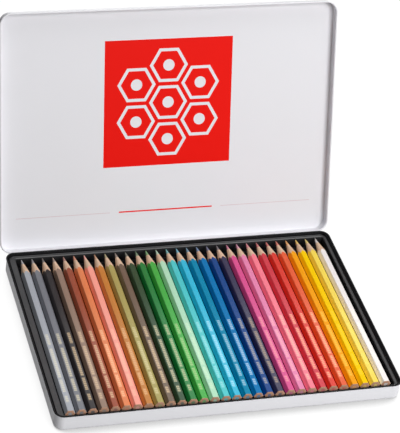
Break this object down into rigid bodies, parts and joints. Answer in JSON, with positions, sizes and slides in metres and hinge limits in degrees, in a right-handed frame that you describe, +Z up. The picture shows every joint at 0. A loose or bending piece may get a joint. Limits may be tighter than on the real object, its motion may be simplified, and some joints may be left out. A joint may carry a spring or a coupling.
{
  "type": "hinged tin of colour pencils",
  "caption": "Flat hinged metal tin standing open, with a moulded black tray that holds one row of sharpened hexagonal colour pencils.",
  "frame": {"origin": "centre of the tin's underside", "axes": "+X to the right along the hinge, +Y to the back where the hinge is, +Z up"},
  "size_m": [0.2726, 0.2658, 0.1893],
  "materials": {
    "tin_lacquer": "satin white lacquer on tinplate",
    "lid_lacquer": "satin white lacquer with a printed red panel inside",
    "tray_plastic": "moulded black plastic",
    "hinge_steel": "bare steel",
    "pencil_silver_grey": "gloss lacquer on cedar, bare wood cone, coloured lead",
    "pencil_slate_grey": "gloss lacquer on cedar, bare wood cone, coloured lead",
    "pencil_charcoal": "gloss lacquer on cedar, bare wood cone, coloured lead",
    "pencil_taupe": "gloss lacquer on cedar, bare wood cone, coloured lead",
    "pencil_red_brown": "gloss lacquer on cedar, bare wood cone, coloured lead",
    "pencil_terracotta": "gloss lacquer on cedar, bare wood cone, coloured lead",
    "pencil_salmon": "gloss lacquer on cedar, bare wood cone, coloured lead",
    "pencil_ochre": "gloss lacquer on cedar, bare wood cone, coloured lead",
    "pencil_olive": "gloss lacquer on cedar, bare wood cone, coloured lead",
    "pencil_umber": "gloss lacquer on cedar, bare wood cone, coloured lead",
    "pencil_grey_green": "gloss lacquer on cedar, bare wood cone, coloured lead",
    "pencil_leaf_green": "gloss lacquer on cedar, bare wood cone, coloured lead",
    "pencil_bright_green": "gloss lacquer on cedar, bare wood cone, coloured lead",
    "pencil_pale_green": "gloss lacquer on cedar, bare wood cone, coloured lead",
    "pencil_turquoise": "gloss lacquer on cedar, bare wood cone, coloured lead",
    "pencil_sky_blue": "gloss lacquer on cedar, bare wood cone, coloured lead",
    "pencil_cerulean": "gloss lacquer on cedar, bare wood cone, coloured lead",
    "pencil_mid_blue": "gloss lacquer on cedar, bare wood cone, coloured lead",
    "pencil_deep_blue": "gloss lacquer on cedar, bare wood cone, coloured lead",
    "pencil_indigo": "gloss lacquer on cedar, bare wood cone, coloured lead",
    "pencil_magenta": "gloss lacquer on cedar, bare wood cone, coloured lead",
    "pencil_lilac": "gloss lacquer on cedar, bare wood cone, coloured lead",
    "pencil_pink": "gloss lacquer on cedar, bare wood cone, coloured lead",
    "pencil_crimson": "gloss lacquer on cedar, bare wood cone, coloured lead",
    "pencil_red": "gloss lacquer on cedar, bare wood cone, coloured lead",
    "pencil_vermilion": "gloss lacquer on cedar, bare wood cone, coloured lead",
    "pencil_orange": "gloss lacquer on cedar, bare wood cone, coloured lead",
    "pencil_yellow": "gloss lacquer on cedar, bare wood cone, coloured lead",
    "pencil_lemon": "gloss lacquer on cedar, bare wood cone, coloured lead",
    "pencil_white": "gloss lacquer on cedar, bare wood cone, coloured lead"
  },
  "bodies": {
    "tin": {"base_pan": "tin_lacquer", "tray_insert": "tray_plastic", "base_hinge_leaf_left": "hinge_steel", "base_hinge_leaf_right": "hinge_steel", "hinge_pin_left": "hinge_steel", "hinge_pin_right": "hinge_steel"},
    "lid": {"lid": "lid_lacquer", "lid_hinge_leaf_left": "hinge_steel", "lid_hinge_leaf_right": "hinge_steel"},
    "body_pencil_01": {"pencil_01_silver_grey": "pencil_silver_grey"},
    "body_pencil_02": {"pencil_02_slate_grey": "pencil_slate_grey"},
    "body_pencil_03": {"pencil_03_charcoal": "pencil_charcoal"},
    "body_pencil_04": {"pencil_04_taupe": "pencil_taupe"},
    "body_pencil_05": {"pencil_05_red_brown": "pencil_red_brown"},
    "body_pencil_06": {"pencil_06_terracotta": "pencil_terracotta"},
    "body_pencil_07": {"pencil_07_salmon": "pencil_salmon"},
    "body_pencil_08": {"pencil_08_ochre": "pencil_ochre"},
    "body_pencil_09": {"pencil_09_olive": "pencil_olive"},
    "body_pencil_10": {"pencil_10_umber": "pencil_umber"},
    "body_pencil_11": {"pencil_11_grey_green": "pencil_grey_green"},
    "body_pencil_12": {"pencil_12_leaf_green": "pencil_leaf_green"},
    "body_pencil_13": {"pencil_13_bright_green": "pencil_bright_green"},
    "body_pencil_14": {"pencil_14_pale_green": "pencil_pale_green"},
    "body_pencil_15": {"pencil_15_turquoise": "pencil_turquoise"},
    "body_pencil_16": {"pencil_16_sky_blue": "pencil_sky_blue"},
    "body_pencil_17": {"pencil_17_cerulean": "pencil_cerulean"},
    "body_pencil_18": {"pencil_18_mid_blue": "pencil_mid_blue"},
    "body_pencil_19": {"pencil_19_deep_blue": "pencil_deep_blue"},
    "body_pencil_20": {"pencil_20_indigo": "pencil_indigo"},
    "body_pencil_21": {"pencil_21_magenta": "pencil_magenta"},
    "body_pencil_22": {"pencil_22_lilac": "pencil_lilac"},
    "body_pencil_23": {"pencil_23_pink": "pencil_pink"},
    "body_pencil_24": {"pencil_24_crimson": "pencil_crimson"},
    "body_pencil_25": {"pencil_25_red": "pencil_red"},
    "body_pencil_26": {"pencil_26_vermilion": "pencil_vermilion"},
    "body_pencil_27": {"pencil_27_orange": "pencil_orange"},
    "body_pencil_28": {"pencil_28_yellow": "pencil_yellow"},
    "body_pencil_29": {"pencil_29_lemon": "pencil_lemon"},
    "body_pencil_30": {"pencil_30_white": "pencil_white"}
  },
  "joints": [
    {"name": "lid_hinge", "type": "hinge", "parent": "tin", "child": "lid", "pos_m": [0, 0.097, 0.0085], "axis": [-1, 0, 0], "range_deg": [-110.5, 0]},
    {"name": "lift_pencil_01", "type": "slide", "parent": "tin", "child": "body_pencil_01", "axis": [0, 0, 1], "range_m": [0, 0.06]},
    {"name": "lift_pencil_02", "type": "slide", "parent": "tin", "child": "body_pencil_02", "axis": [0, 0, 1], "range_m": [0, 0.06]},
    {"name": "lift_pencil_03", "type": "slide", "parent": "tin", "child": "body_pencil_03", "axis": [0, 0, 1], "range_m": [0, 0.06]},
    {"name": "lift_pencil_04", "type": "slide", "parent": "tin", "child": "body_pencil_04", "axis": [0, 0, 1], "range_m": [0, 0.06]},
    {"name": "lift_pencil_05", "type": "slide", "parent": "tin", "child": "body_pencil_05", "axis": [0, 0, 1], "range_m": [0, 0.06]},
    {"name": "lift_pencil_06", "type": "slide", "parent": "tin", "child": "body_pencil_06", "axis": [0, 0, 1], "range_m": [0, 0.06]},
    {"name": "lift_pencil_07", "type": "slide", "parent": "tin", "child": "body_pencil_07", "axis": [0, 0, 1], "range_m": [0, 0.06]},
    {"name": "lift_pencil_08", "type": "slide", "parent": "tin", "child": "body_pencil_08", "axis": [0, 0, 1], "range_m": [0, 0.06]},
    {"name": "lift_pencil_09", "type": "slide", "parent": "tin", "child": "body_pencil_09", "axis": [0, 0, 1], "range_m": [0, 0.06]},
    {"name": "lift_pencil_10", "type": "slide", "parent": "tin", "child": "body_pencil_10", "axis": [0, 0, 1], "range_m": [0, 0.06]},
    {"name": "lift_pencil_11", "type": "slide", "parent": "tin", "child": "body_pencil_11", "axis": [0, 0, 1], "range_m": [0, 0.06]},
    {"name": "lift_pencil_12", "type": "slide", "parent": "tin", "child": "body_pencil_12", "axis": [0, 0, 1], "range_m": [0, 0.06]},
    {"name": "lift_pencil_13", "type": "slide", "parent": "tin", "child": "body_pencil_13", "axis": [0, 0, 1], "range_m": [0, 0.06]},
    {"name": "lift_pencil_14", "type": "slide", "parent": "tin", "child": "body_pencil_14", "axis": [0, 0, 1], "range_m": [0, 0.06]},
    {"name": "lift_pencil_15", "type": "slide", "parent": "tin", "child": "body_pencil_15", "axis": [0, 0, 1], "range_m": [0, 0.06]},
    {"name": "lift_pencil_16", "type": "slide", "parent": "tin", "child": "body_pencil_16", "axis": [0, 0, 1], "range_m": [0, 0.06]},
    {"name": "lift_pencil_17", "type": "slide", "parent": "tin", "child": "body_pencil_17", "axis": [0, 0, 1], "range_m": [0, 0.06]},
    {"name": "lift_pencil_18", "type": "slide", "parent": "tin", "child": "body_pencil_18", "axis": [0, 0, 1], "range_m": [0, 0.06]},
    {"name": "lift_pencil_19", "type": "slide", "parent": "tin", "child": "body_pencil_19", "axis": [0, 0, 1], "range_m": [0, 0.06]},
    {"name": "lift_pencil_20", "type": "slide", "parent": "tin", "child": "body_pencil_20", "axis": [0, 0, 1], "range_m": [0, 0.06]},
    {"name": "lift_pencil_21", "type": "slide", "parent": "tin", "child": "body_pencil_21", "axis": [0, 0, 1], "range_m": [0, 0.06]},
    {"name": "lift_pencil_22", "type": "slide", "parent": "tin", "child": "body_pencil_22", "axis": [0, 0, 1], "range_m": [0, 0.06]},
    {"name": "lift_pencil_23", "type": "slide", "parent": "tin", "child": "body_pencil_23", "axis": [0, 0, 1], "range_m": [0, 0.06]},
    {"name": "lift_pencil_24", "type": "slide", "parent": "tin", "child": "body_pencil_24", "axis": [0, 0, 1], "range_m": [0, 0.06]},
    {"name": "lift_pencil_25", "type": "slide", "parent": "tin", "child": "body_pencil_25", "axis": [0, 0, 1], "range_m": [0, 0.06]},
    {"name": "lift_pencil_26", "type": "slide", "parent": "tin", "child": "body_pencil_26", "axis": [0, 0, 1], "range_m": [0, 0.06]},
    {"name": "lift_pencil_27", "type": "slide", "parent": "tin", "child": "body_pencil_27", "axis": [0, 0, 1], "range_m": [0, 0.06]},
    {"name": "lift_pencil_28", "type": "slide", "parent": "tin", "child": "body_pencil_28", "axis": [0, 0, 1], "range_m": [0, 0.06]},
    {"name": "lift_pencil_29", "type": "slide", "parent": "tin", "child": "body_pencil_29", "axis": [0, 0, 1], "range_m": [0, 0.06]},
    {"name": "lift_pencil_30", "type": "slide", "parent": "tin", "child": "body_pencil_30", "axis": [0, 0, 1], "range_m": [0, 0.06]}
  ]
}
